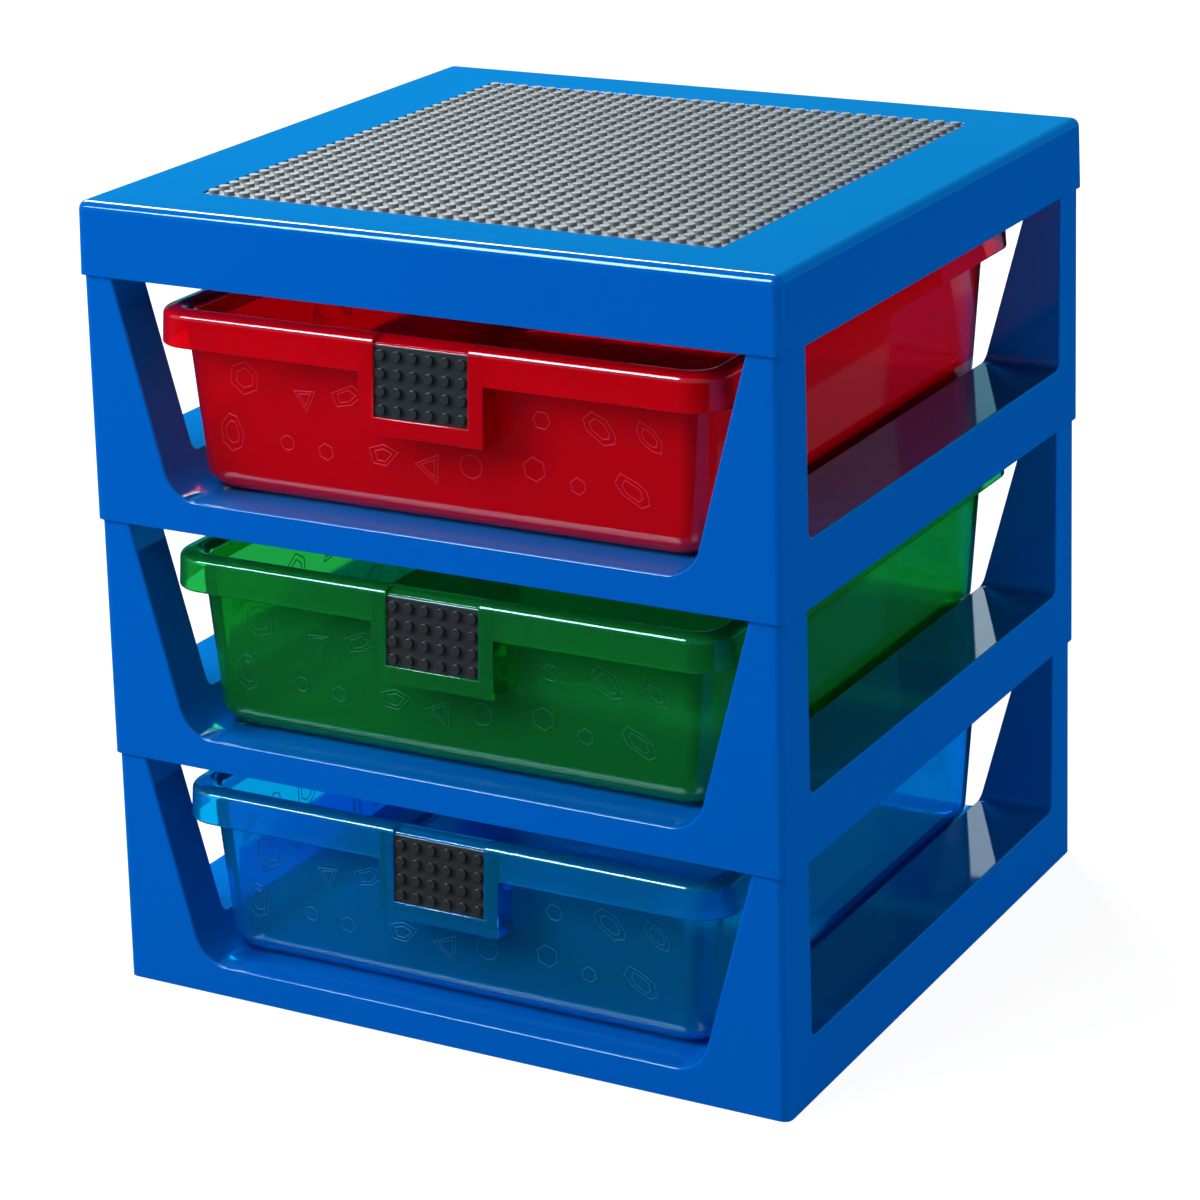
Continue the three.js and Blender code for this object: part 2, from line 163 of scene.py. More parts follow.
# Corners closer than this become one corner
MERGE_DISTANCE = 0.005
# Faces that meet flatter than this many degrees are one face, and edges sharper than the next are rounded
FLAT_ANGLE = 0.4
SHARP_ANGLE = 28.0


def arc(centre: Point, radius: float, start: float, end: float, steps: int) -> list[Point]:
    """Gives points on an arc, both ends included, between two angles in degrees."""
    angles = [math.radians(start + (end - start) * i / steps) for i in range(steps + 1)]
    return [(centre[0] + radius * math.cos(a), centre[1] + radius * math.sin(a)) for a in angles]


def new_object(name: str, data: bpy.types.ID) -> bpy.types.Object:
    """Makes an object of a mesh, a lamp or a camera and links it to the scene.

    Args:
        name: Name of the object.
        data: Its mesh, lamp or camera.

    Returns:
        The new object.
    """
    obj = bpy.data.objects.new(name, data)
    bpy.context.scene.collection.objects.link(obj)
    return obj


def mesh_object(
    name: str, points: Sequence[Sequence[float]], faces: Iterable[Sequence[int]]
) -> bpy.types.Object:
    """Makes a mesh object.

    Args:
        name: Name of the object and its mesh.
        points: Points in millimetres.
        faces: Indices of each face's points.

    Returns:
        The new object.
    """
    mesh = bpy.data.meshes.new(name)
    mesh.from_pydata([tuple(c * MM for c in p) for p in points], [], [tuple(f) for f in faces])
    return new_object(name, mesh)


@dataclass(frozen=True)
class Ring:
    """Level rounded rectangle of a loft, round the origin."""

    width: float
    depth: float
    radius: float
    z: float

    def points(self, steps: int) -> list[Place]:
        """Gives the ring's points, anticlockwise from above.

        Args:
            steps: Steps in each corner.

        Returns:
            Points in millimetres.
        """
        x, y = self.width / 2 - self.radius, self.depth / 2 - self.radius
        corners = [((x, y), 0), ((-x, y), 90), ((-x, -y), 180), ((x, -y), 270)]
        outline = [p for centre, start in corners for p in arc(centre, self.radius, start, start + 90, steps)]
        return [(px, py, self.z) for px, py in outline]


def loft(name: str, rings: Sequence[Ring], steps: int = 8) -> bpy.types.Object:
    """Makes a closed skin through a list of rings, with a cap on the first and one on the last.

    Args:
        name: Name of the object.
        rings: Rings whose first cap looks down and whose last one looks up.
        steps: Steps in each corner.

    Returns:
        The new object.
    """
    rows = [ring.points(steps) for ring in rings]
    count = len(rows[0])
    faces: list[Sequence[int]] = [range(count - 1, -1, -1)]
    for i in range(len(rows) - 1):
        for k in range(count):
            a, b = i * count + k, i * count + (k + 1) % count
            faces.append((a, b, b + count, a + count))
    last = (len(rows) - 1) * count
    faces.append(range(last, last + count))
    return mesh_object(name, [p for row in rows for p in row], faces)


def prism(name: str, outline: Sequence[Point], length: float, plane: Plane) -> bpy.types.Object:
    """Draws an anticlockwise outline out to both sides of its plane.

    Args:
        name: Name of the object.
        outline: Points of the outline.
        length: Whole length, centred on the plane.
        plane: Plane of the outline.

    Returns:
        The new closed object.
    """
    half, count = length / 2, len(outline)
    if plane is Plane.ACROSS:
        near = [(u, -half, v) for u, v in outline]
        far = [(u, half, v) for u, v in outline]
    else:
        near = [(half, u, v) for u, v in outline]
        far = [(-half, u, v) for u, v in outline]
    faces: list[Sequence[int]] = [range(count), range(2 * count - 1, count - 1, -1)]
    for k in range(count):
        after = (k + 1) % count
        faces.append((k, k + count, after + count, after))
    return mesh_object(name, near + far, faces)


def block(name: str, low: Sequence[float], high: Sequence[float]) -> bpy.types.Object:
    """Makes a box, as a cutter or a rib.

    Args:
        name: Name of the object.
        low: Its corner with the lowest values.
        high: Its opposite corner.

    Returns:
        The new closed object.
    """
    outline = [(low[0], low[2]), (high[0], low[2]), (high[0], high[2]), (low[0], high[2])]
    obj = prism(name, outline, high[1] - low[1], Plane.ACROSS)
    obj.data.transform(Matrix.Translation((0, (low[1] + high[1]) / 2 * MM, 0)))
    return obj


def settle(obj: bpy.types.Object) -> None:
    """Turns an object's modifiers into mesh.

    Args:
        obj: Object whose mesh is then replaced.
    """
    graph = bpy.context.evaluated_depsgraph_get()
    mesh = bpy.data.meshes.new_from_object(
        obj.evaluated_get(graph), preserve_all_data_layers=True, depsgraph=graph
    )
    obj.modifiers.clear()
    old, obj.data = obj.data, mesh
    bpy.data.meshes.remove(old)


def discard(obj: bpy.types.Object) -> None:
    """Removes an object with its mesh.

    Args:
        obj: Object to remove.
    """
    mesh = obj.data
    bpy.data.objects.remove(obj)
    bpy.data.meshes.remove(mesh)


def combine(target: bpy.types.Object, tool: bpy.types.Object, operation: str) -> bpy.types.Object:
    """Joins or cuts a solid with another one, which is then gone.

    Args:
        target: Solid that changes.
        tool: Solid that joins or cuts it.
        operation: UNION or DIFFERENCE.

    Returns:
        The changed solid.
    """
    modifier = target.modifiers.new(operation, "BOOLEAN")
    modifier.operation = operation
    modifier.solver = "EXACT"
    modifier.object = tool
    settle(target)
    discard(tool)
    return target


def round_edges(
    obj: bpy.types.Object, share: Callable[[Vector], float], width: float, segments: int = 3
) -> None:
    """Rounds the outward sharp edges of a solid.

    Args:
        obj: Solid to change.
        share: Share of the width for an edge, from the edge's middle in millimetres.
        width: Widest rounding.
        segments: Faces across each rounding.
    """
    shape = bmesh.new()
    shape.from_mesh(obj.data)
    bmesh.ops.remove_doubles(shape, verts=shape.verts, dist=MERGE_DISTANCE * MM)
    bmesh.ops.dissolve_limit(
        shape,
        angle_limit=math.radians(FLAT_ANGLE),
        verts=shape.verts,
        edges=shape.edges,
        use_dissolve_boundaries=False,
    )
    layers = shape.edges.layers.float
    weight = layers.get("bevel_weight_edge") or layers.new("bevel_weight_edge")
    for edge in shape.edges:
        if edge.is_manifold and edge.is_convex and edge.calc_face_angle(0) > math.radians(SHARP_ANGLE):
            edge[weight] = share((edge.verts[0].co + edge.verts[1].co) / (2 * MM))
    shape.to_mesh(obj.data)
    shape.free()
    modifier = obj.modifiers.new("rounding", "BEVEL")
    modifier.limit_method = "WEIGHT"
    modifier.width = width * MM
    modifier.segments = segments
    modifier.use_clamp_overlap = False
    modifier.loop_slide = False
    settle(obj)


def shade(obj: bpy.types.Object, angle: float = 34.0) -> None:
    """Shades a solid smooth, apart from its sharp edges.

    Args:
        obj: Solid to shade.
        angle: Least turn of a sharp edge in degrees.
    """
    obj.data.shade_smooth()
    obj.data.set_sharp_from_angle(angle=math.radians(angle))
    modifier = obj.modifiers.new("even_shading", "WEIGHTED_NORMAL")
    modifier.keep_sharp = True


def copy_of(obj: bpy.types.Object, name: str, place: Vector) -> bpy.types.Object:
    """Makes a copy with a mesh of its own.

    Args:
        obj: Object to copy.
        name: Name of the copy and its mesh.
        place: Distance from the object to its copy in millimetres.

    Returns:
        The copy.
    """
    twin = obj.copy()
    twin.data = obj.data.copy()
    twin.name = name
    twin.data.name = name
    twin.location = obj.location + place * MM
    bpy.context.scene.collection.objects.link(twin)
    return twin


# Finishes


@dataclass(frozen=True)
class MouldedPlastic:
    """Opaque injection-moulded plastic with the skin of a polished or a satin mould.

    The grain is the unevenness of the skin, and scuffs are fine streaks that add to its roughness. Flow
    is the slow drift of colour that the melt leaves. The bloom is the light that the dye gives back where
    the skin is seen at a low angle.
    """

    name: str
    colour: str
    drift: str
    roughness: float
    ior: float = 1.46
    grain_mm: float = 3.0
    grain_height_mm: float = 0.0012
    flow_mm: float = 60.0
    scuffs: float = 0.06
    scuff_mm: float = 1.6
    scuff_stretch_share: float = 0.12
    bloom: float = 0.0
    bloom_colour: str = "FFFFFF"
    bloom_roughness: float = 0.4

    def material(self) -> bpy.types.Material:
        """Builds the material with its colour drift, uneven gloss and fine skin.

        Returns:
            The new material.
        """
        material = bpy.data.materials.new(self.name)
        tree = empty_tree(material)
        place = add_node(tree, "ShaderNodeTexCoord").outputs["Object"]
        flow = add_node(
            tree, "ShaderNodeTexNoise", {"Vector": place, "Scale": 1 / (self.flow_mm * MM), "Detail": 2.0}
        )
        colour = add_node(
            tree,
            "ShaderNodeMix",
            {0: flow.outputs["Fac"], 6: linear(self.colour), 7: linear(self.drift)},
            data_type="RGBA",
        )
        streaks = add_node(
            tree,
            "ShaderNodeMapping",
            {
                "Vector": place,
                "Scale": (1.0, self.scuff_stretch_share, 1.0),
                "Rotation": (0.0, 0.3, 0.7),
            },
        )
        scuff = add_node(
            tree,
            "ShaderNodeTexNoise",
            {"Vector": streaks.outputs[0], "Scale": 1 / (self.scuff_mm * MM), "Detail": 3.0},
        )
        gloss = add_node(
            tree,
            "ShaderNodeMapRange",
            {
                "Value": scuff.outputs["Fac"],
                "From Min": 0.45,
                "From Max": 0.75,
                "To Min": self.roughness,
                "To Max": self.roughness + self.scuffs,
            },
        )
        grain = add_node(
            tree, "ShaderNodeTexNoise", {"Vector": place, "Scale": 1 / (self.grain_mm * MM), "Detail": 2.0}
        )
        skin = add_node(
            tree,
            "ShaderNodeBump",
            {"Height": grain.outputs["Fac"], "Strength": 1.0, "Distance": self.grain_height_mm * MM},
        )
        shader = add_node(
            tree,
            "ShaderNodeBsdfPrincipled",
            {
                "Base Color": colour.outputs[2],
                "Roughness": gloss.outputs[0],
                "IOR": self.ior,
                "Sheen Weight": self.bloom,
                "Sheen Roughness": self.bloom_roughness,
                "Sheen Tint": linear(self.bloom_colour),
                "Normal": skin.outputs[0],
            },
        )
        add_node(tree, "ShaderNodeOutputMaterial", {"Surface": shader.outputs[0]})
        return material


@dataclass(frozen=True)
class TintedPlastic:
    """Translucent plastic from a polished mould, dyed through and through.

    The colour tints each face that light crosses, the depth colour is what is left of white light
    after it has gone a distance in the wall, and the clear share is how much light goes through.
    """

    name: str
    colour: str
    drift: str
    depth_colour: str
    clear: float
    line_colour: str
    line_roughness: float = 0.5
    depth_density: float = 60.0
    roughness: float = 0.06
    roughness_spread: float = 1.5
    ior: float = 1.56
    swirl_mm: float = 45.0
    swirl_bend: float = 0.6
    skin_mm: float = 16.0
    skin_height_mm: float = 0.008

    def material(self) -> bpy.types.Material:
        """Builds the material with its tint, its drift of pigment and the faint waves of its skin.

        Returns:
            The new material.
        """
        material = bpy.data.materials.new(self.name)
        tree = empty_tree(material)
        place = add_node(tree, "ShaderNodeTexCoord").outputs["Object"]
        swirl = add_node(
            tree,
            "ShaderNodeTexNoise",
            {
                "Vector": place,
                "Scale": 1 / (self.swirl_mm * MM),
                "Detail": 2.0,
                "Distortion": self.swirl_bend,
            },
        )
        colour = add_node(
            tree,
            "ShaderNodeMix",
            {0: swirl.outputs["Fac"], 6: linear(self.colour), 7: linear(self.drift)},
            data_type="RGBA",
        )
        gloss = add_node(
            tree,
            "ShaderNodeMapRange",
            {
                "Value": swirl.outputs["Fac"],
                "From Min": 0.3,
                "From Max": 0.7,
                "To Min": self.roughness,
                "To Max": self.roughness * self.roughness_spread,
            },
        )
        waves = add_node(tree, "ShaderNodeTexNoise", {"Vector": place, "Scale": 1 / (self.skin_mm * MM)})
        skin = add_node(
            tree,
            "ShaderNodeBump",
            {"Height": waves.outputs["Fac"], "Strength": 1.0, "Distance": self.skin_height_mm * MM},
        )
        shader = add_node(
            tree,
            "ShaderNodeBsdfPrincipled",
            {
                "Base Color": colour.outputs[2],
                "Roughness": gloss.outputs[0],
                "IOR": self.ior,
                "Transmission Weight": self.clear,
                "Normal": skin.outputs[0],
            },
        )
        depth = add_node(
            tree,
            "ShaderNodeVolumeAbsorption",
            {"Color": linear(self.depth_colour), "Density": self.depth_density},
        )
        add_node(
            tree, "ShaderNodeOutputMaterial", {"Surface": shader.outputs[0], "Volume": depth.outputs[0]}
        )
        return material

    def line_material(self) -> bpy.types.Material:
        """Builds the matt finish of the raised outlines, which scatter light where the wall is clear."""
        name, colour = f"{self.name}_matt", self.line_colour
        return MouldedPlastic(name, colour, colour, self.line_roughness).material()


# Polypropylene from a polished mould: an even, saturated blue with a hard gloss on its flat faces
FRAME_BLUE = MouldedPlastic(
    name="glossy_moulded_polypropylene_blue",
    colour="0058B8",
    drift="0055B3",
    roughness=0.05,
    scuffs=0.03,
    bloom=0.1,
    bloom_colour="00D8C8",
)
# ABS with a satin skin: a neutral grey whose studs catch a soft light
PLATE_GREY = MouldedPlastic(
    name="satin_moulded_abs_grey", colour="808284", drift="787A7C", roughness=0.38, ior=1.53
)
# ABS dyed black: nearly no colour of its own, so the edges of its studs show as soft grey arcs
HANDLE_BLACK = MouldedPlastic(
    name="satin_moulded_abs_black", colour="2A2A2C", drift="262628", roughness=0.3, ior=1.53
)
# Clear polystyrene blends, dyed: deep in the shade and bright where white light comes through
DRAWER_FINISHES = {
    Level.LOWER: TintedPlastic(
        name="tinted_moulded_polystyrene_blue",
        colour="04C4FF",
        drift="04BCFC",
        depth_colour="30D0FF",
        clear=0.89,
        line_colour="0A5690",
    ),
    Level.MIDDLE: TintedPlastic(
        name="tinted_moulded_polystyrene_green",
        colour="2CC85E",
        drift="24C456",
        depth_colour="A0F048",
        clear=0.87,
        line_colour="0A6038",
    ),
    Level.UPPER: TintedPlastic(
        name="tinted_moulded_polystyrene_red",
        colour="F00018",
        drift="E80014",
        depth_colour="FF2830",
        clear=0.6,
        line_colour="B81828",
    ),
}


# The frame


@dataclass(frozen=True)
class Tier:
    """Open tier: four corner posts round a floor, with a drawer bay and a window in each side."""

    width: float = 346.0
    depth: float = 326.0
    height: float = 113.7
    draft: float = 1.4
    corner: float = 4.6
    wall: float = 2.6
    bay_side: float = 17.0
    bay_lean_run: float = 26.0
    bay_fillet: float = 17.0
    bay_steps: int = 16
    floor: float = 14.6
    ledge: float = 30.0
    post: float = 24.6
    window_fillet: float = 4.2
    window_steps: int = 12
    plug_height: float = 6.0
    plug_margin: float = 2.0
    clearance: float = 0.3
    rib_thickness: float = 2.0
    rib_height: float = 3.4
    rib_pitch: float = 72.0
    ribs: int = 3
    edge_radius: float = 1.0
    inner_rounding_share: float = 0.3
    rim_rounding_share: float = 0.22
    face_margin: float = 0.3
    rim_margin: float = 0.2
    floor_margin: float = 0.1
    overrun: float = 5.0

    @property
    def lean(self) -> float:
        """Lean of the bay's sides from the upright, in radians."""
        return math.atan(self.bay_lean_run / (self.height - self.floor))

    @property
    def cutter_top(self) -> float:
        """Height at which the cutters end, above the plugs."""
        return self.height + self.plug_height + self.overrun

    @property
    def floor_half(self) -> float:
        """Half width of the bay's flat floor, between its rounded sides."""
        corner = self.width / 2 - self.bay_side - self.bay_lean_run
        return corner - self.bay_fillet * math.tan((math.pi / 2 - self.lean) / 2)

    def cutter(self, grow: float) -> bpy.types.Object:
        """Makes the bay and the windows as one cutter.

        Args:
            grow: Distance by which it is grown on all its sides.

        Returns:
            The new closed object.
        """
        lean, radius = math.degrees(self.lean), self.bay_fillet + grow
        half_top = self.width / 2 - self.bay_side + grow / math.cos(self.lean)
        over = half_top + (self.plug_height + self.overrun) * math.tan(self.lean)
        x, z = self.floor_half, self.floor + self.bay_fillet
        bay = [
            (-over, self.cutter_top),
            *arc((-x, z), radius, 180 + lean, 270, self.bay_steps),
            *arc((x, z), radius, -90, -lean, self.bay_steps),
            (over, self.cutter_top),
        ]
        half, ledge = self.depth / 2 - self.post + grow, self.ledge - grow
        turn = self.window_fillet + grow
        window = [
            (-half, self.cutter_top),
            *arc((turn - half, ledge + turn), turn, 180, 270, self.window_steps),
            *arc((half - turn, ledge + turn), turn, -90, 0, self.window_steps),
            (half, self.cutter_top),
        ]
        solid = prism("bay_cutter", bay, self.depth + 2 * self.overrun, Plane.ACROSS)
        side = prism("window_cutter", window, self.width + 2 * self.overrun, Plane.ALONG)
        return combine(solid, side, "UNION")

    def hollow(self, height: float, draft: float, wall: float) -> bpy.types.Object:
        """Makes the hollow inside a drafted shell with the tier's footprint, open at its foot.

        Args:
            height: Height of the shell.
            draft: Distance by which each side leans in from its foot to its top.
            wall: Thickness of the shell.

        Returns:
            The hollow as a closed object.
        """

        def ring(z: float) -> Ring:
            """Gives the hollow's ring at a height."""
            inset = 2 * (wall + draft * z / height)
            return Ring(self.width - inset, self.depth - inset, self.corner - wall, z)

        return loft("shell_hollow", [ring(-self.overrun), ring(height - wall)])

    def rounding(self, middle: Vector) -> float:
        """Says how much of the edge radius an edge gets.

        Args:
            middle: Middle of the edge in millimetres.

        Returns:
            Share of the radius.
        """
        inset = self.draft * middle.z / self.height + self.face_margin
        outside = abs(middle.x) > self.width / 2 - inset or abs(middle.y) > self.depth / 2 - inset
        if middle.z < self.rim_margin or middle.z > self.height - self.rim_margin:
            return self.rim_rounding_share if outside else 0.0
        if middle.z < self.floor - self.floor_margin:
            return 0.0
        return 1.0 if outside else self.inner_rounding_share

    def build(self) -> bpy.types.Object:
        """Builds one tier at the foot of the stack: its shell, its ribs and its plugs.

        Returns:
            The tier, without a material.
        """
        rings = [
            Ring(self.width, self.depth, self.corner, 0.0),
            Ring(self.width - 2 * self.draft, self.depth - 2 * self.draft, self.corner, self.height),
        ]
        tier = combine(loft("tier", rings), self.cutter(0.0), "DIFFERENCE")
        hollow = combine(
            self.hollow(self.height, self.draft, self.wall), self.cutter(self.wall), "DIFFERENCE"
        )
        tier = combine(tier, hollow, "DIFFERENCE")
        for rib in self.floor_ribs():
            tier = combine(tier, rib, "UNION")
        inset = 2 * (self.wall + self.clearance)
        slab = [
            Ring(self.width - inset, self.depth - inset, self.corner - self.wall, z)
            for z in (self.height - self.wall / 2, self.height + self.plug_height)
        ]
        plugs = combine(loft("plugs", slab), self.cutter(self.plug_margin), "DIFFERENCE")
        tier = combine(tier, plugs, "UNION")
        round_edges(tier, self.rounding, self.edge_radius)
        shade(tier)
        return tier

    def floor_ribs(self) -> list[bpy.types.Object]:
        """Makes the ribs that stiffen the floor from below.

        Returns:
            Ribs that run along Y, then those along X.
        """
        low, high = self.floor - self.wall - self.rib_height, self.floor - self.wall / 2
        end_y, half = (self.depth - self.wall - self.draft) / 2, self.rib_thickness / 2
        places = [self.rib_pitch * (i - (self.ribs - 1) / 2) for i in range(self.ribs)]
        made = [block("rib", (x - half, -end_y, low), (x + half, end_y, high)) for x in places]
        end_x = self.floor_half
        made += [block("rib", (-end_x, y - half, low), (end_x, y + half, high)) for y in places]
        return made

    def dress(self, shape: bpy.types.Object, level: Level, material: bpy.types.Material) -> None:
        """Sets a tier on its level in place of the model's plain one.

        Args:
            shape: Tier at the foot of the stack, which is copied.
            level: Level on which the copy stands.
            material: Its plastic.
        """
        tier = copy_of(shape, f"tier_shell_{level.word}", Vector((0, 0, level.value * self.height)))
        tier.data.materials.append(material)
        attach(tier, "stack")
        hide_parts(f"tier_{level.word}")
        LOG.info("tier %s: %d faces", level.word, len(tier.data.polygons))


@dataclass(frozen=True)
class Studs:
    """Rows of round studs at the standard pitch."""

    pitch: float = 8.0
    diameter: float = 4.8
    height: float = 1.8
    edge: float = 0.35
    edge_steps: int = 3
    sink: float = 0.3
    sides: int = 20

    def add(self, columns: int, rows: int, level: float) -> tuple[list[Place], list[list[int]]]:
        """Gives the points and faces of closed studs on a level plate.

        Args:
            columns: Studs along X.
            rows: Studs along Y.
            level: Height of the plate's face, into which each stud is sunk a little.

        Returns:
            Points and faces.
        """
        radius, top = self.diameter / 2, level + self.height
        profile = [(radius, level - self.sink), (radius, top - self.edge)]
        profile += arc((radius - self.edge, top - self.edge), self.edge, 0, 90, self.edge_steps)[1:]
        points: list[Place] = []
        faces: list[list[int]] = []
        turns = [2 * math.pi * i / self.sides for i in range(self.sides)]
        for column in range(columns):
            for row in range(rows):
                x = self.pitch * (column - (columns - 1) / 2)
                y = self.pitch * (row - (rows - 1) / 2)
                first = len(points)
                for r, z in profile:
                    points += [(x + r * math.cos(a), y + r * math.sin(a), z) for a in turns]
                for ring in range(len(profile) - 1):
                    for k in range(self.sides):
                        a = first + ring * self.sides + k
                        b = first + ring * self.sides + (k + 1) % self.sides
                        faces.append([a, b, b + self.sides, a + self.sides])
                last = first + (len(profile) - 1) * self.sides
                faces.append(list(range(last, last + self.sides)))
                faces.append(list(range(first + self.sides - 1, first - 1, -1)))
        return points, faces


@dataclass(frozen=True)
class StuddedPlate:
    """Square-cornered plate with rows of studs on its face."""

    columns: int
    rows: int
    corner: float
    thickness: float = 3.2
    edge: float = 0.3
    edge_steps: int = 3
    corner_steps: int = 6
    least_corner: float = 0.05
    shading_angle: float = 40.0
    studs: Studs = field(default_factory=Studs)

    def build(self, name: str) -> bpy.types.Object:
        """Builds the plate lying on the ground, with its studs up.

        Args:
            name: Name of the object.

        Returns:
            The plate, without a material.
        """
        width, depth = self.columns * self.studs.pitch, self.rows * self.studs.pitch
        top = self.thickness - self.edge
        rings = [Ring(width, depth, self.corner, 0.0)]
        for x, z in arc((self.edge, top), self.edge, 180, 90, self.edge_steps):
            corner = max(self.corner - x, self.least_corner)
            rings.append(Ring(width - 2 * x, depth - 2 * x, corner, z))
        plate = loft(name, rings, self.corner_steps)
        points, faces = self.studs.add(self.columns, self.rows, self.thickness)
        studs = mesh_object("studs", points, faces)
        with bpy.context.temp_override(active_object=plate, selected_editable_objects=[plate, studs]):
            bpy.ops.object.join()
        shade(plate, self.shading_angle)
        return plate


@dataclass(frozen=True)
class Lid:
    """Shallow cap over the uppermost tier, round a tray for the large plate."""

    tier: Tier
    plate: StuddedPlate
    height: float = 33.3
    draft: float = 0.8
    wall: float = 2.6
    edge_radius: float = 4.2
    edge_steps: int = 10
    corner_steps: int = 12
    least_corner: float = 0.5
    rounding_width: float = 0.5
    foot_rounding_share: float = 0.8
    face_margin: float = 0.5
    rim_margin: float = 0.2
    plate_sink: float = 0.7
    clearance: float = 0.3
    overrun: float = 5.0

    def recess(self, grow: float) -> bpy.types.Object:
        """Makes the recess for the plate as a cutter.

        Args:
            grow: Distance by which it is grown on all its sides.

        Returns:
            The new closed object.
        """
        side = self.plate.columns * self.plate.studs.pitch + 2 * (self.clearance + grow)
        seat = self.height - self.plate_sink - self.plate.thickness - self.clearance - grow
        radius = self.plate.corner + self.clearance + grow
        return loft("recess", [Ring(side, side, radius, z) for z in (seat, self.height + self.overrun)])

    def rounding(self, middle: Vector) -> float:
        """Says how much of the small rounding an edge gets.

        Args:
            middle: Middle of the edge in millimetres.

        Returns:
            Share of the rounding's width.
        """
        if middle.z > self.height - self.rim_margin:
            return 1.0
        half_width = self.tier.width / 2 - self.face_margin
        half_depth = self.tier.depth / 2 - self.face_margin
        outside = abs(middle.x) > half_width or abs(middle.y) > half_depth
        return self.foot_rounding_share if middle.z < self.rim_margin and outside else 0.0

    def build(self) -> bpy.types.Object:
        """Builds the lid with its foot on the ground.

        Returns:
            The lid, without a material.
        """
        tier, radius = self.tier, self.edge_radius
        rings = [Ring(tier.width, tier.depth, tier.corner, 0.0)]
        for x, z in arc((radius, -radius), radius, 180, 90, self.edge_steps):
            inset = 2 * (self.draft + x)
            corner = max(tier.corner - x, self.least_corner)
            rings.append(Ring(tier.width - inset, tier.depth - inset, corner, self.height + z))
        hollow = combine(
            tier.hollow(self.height, self.draft, self.wall), self.recess(self.wall), "DIFFERENCE"
        )
        lid = combine(loft("lid_cap", rings, self.corner_steps), hollow, "DIFFERENCE")
        lid = combine(lid, self.recess(0.0), "DIFFERENCE")
        round_edges(lid, self.rounding, self.rounding_width)
        shade(lid)
        return lid

    def dress(self, blue: bpy.types.Material, grey: bpy.types.Material) -> None:
        """Sets the lid and the large plate on the stack in place of the model's plain ones.

        Args:
            blue: Plastic of the lid.
            grey: Plastic of the plate.
        """
        foot = len(Level) * self.tier.height
        lid = self.build()
        lid.location.z = foot * MM
        lid.data.materials.append(blue)
        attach(lid, "stack")
        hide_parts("lid")
        plate = self.plate.build("building_plate")
        plate.location.z = (foot + self.height - self.plate_sink - self.plate.thickness) * MM
        plate.data.materials.append(grey)
        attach(plate, "stack")
        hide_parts("stud_plate")
        LOG.info("lid: %d faces, plate: %d faces", len(lid.data.polygons), len(plate.data.polygons))


# The drawers

# Material slots of a drawer: the tub's plastic and the outlines' matt finish
TUB_SLOT, LINE_SLOT = range(2)
# Side play of each drawer in its bay
DRAWER_SHIFTS = {Level.LOWER: -1.6, Level.MIDDLE: 0.3, Level.UPPER: 0.0}
# Ranges of a chip's corners, of its flatness, and of how far a corner strays round and in
CHIP_CORNERS = (5, 7)
CHIP_FLATNESS = (0.4, 0.75)
CHIP_STRAY = (-0.22, 0.22)
CHIP_REACH = (0.82, 1.0)


class Motif(Enum):
    """Plain shapes whose outlines stand proud of the drawers' walls."""

    RING = "ring"
    TRIANGLE = "triangle"
    HEXAGON = "hexagon"
    CHIP = "flat chip with uneven corners"

    def outline(self, radius: float, chance: random.Random) -> list[Point]:
        """Gives the motif's outline round the origin, anticlockwise.

        Args:
            radius: Radius of the circle that holds it.
            chance: Source of the chip's unevenness.

        Returns:
            Points of the closed outline.
        """
        if self is Motif.CHIP:
            count = chance.randint(*CHIP_CORNERS)
            flatness = chance.uniform(*CHIP_FLATNESS)
            turns = [2 * math.pi * (i + chance.uniform(*CHIP_STRAY)) / count for i in range(count)]
            spokes = [(radius * chance.uniform(*CHIP_REACH), turn) for turn in turns]
            return [(reach * math.cos(turn), flatness * reach * math.sin(turn)) for reach, turn in spokes]
        sides = {Motif.RING: 28, Motif.TRIANGLE: 3, Motif.HEXAGON: 6}[self]
        return arc((0, 0), radius, 0, 360, sides)[:-1]


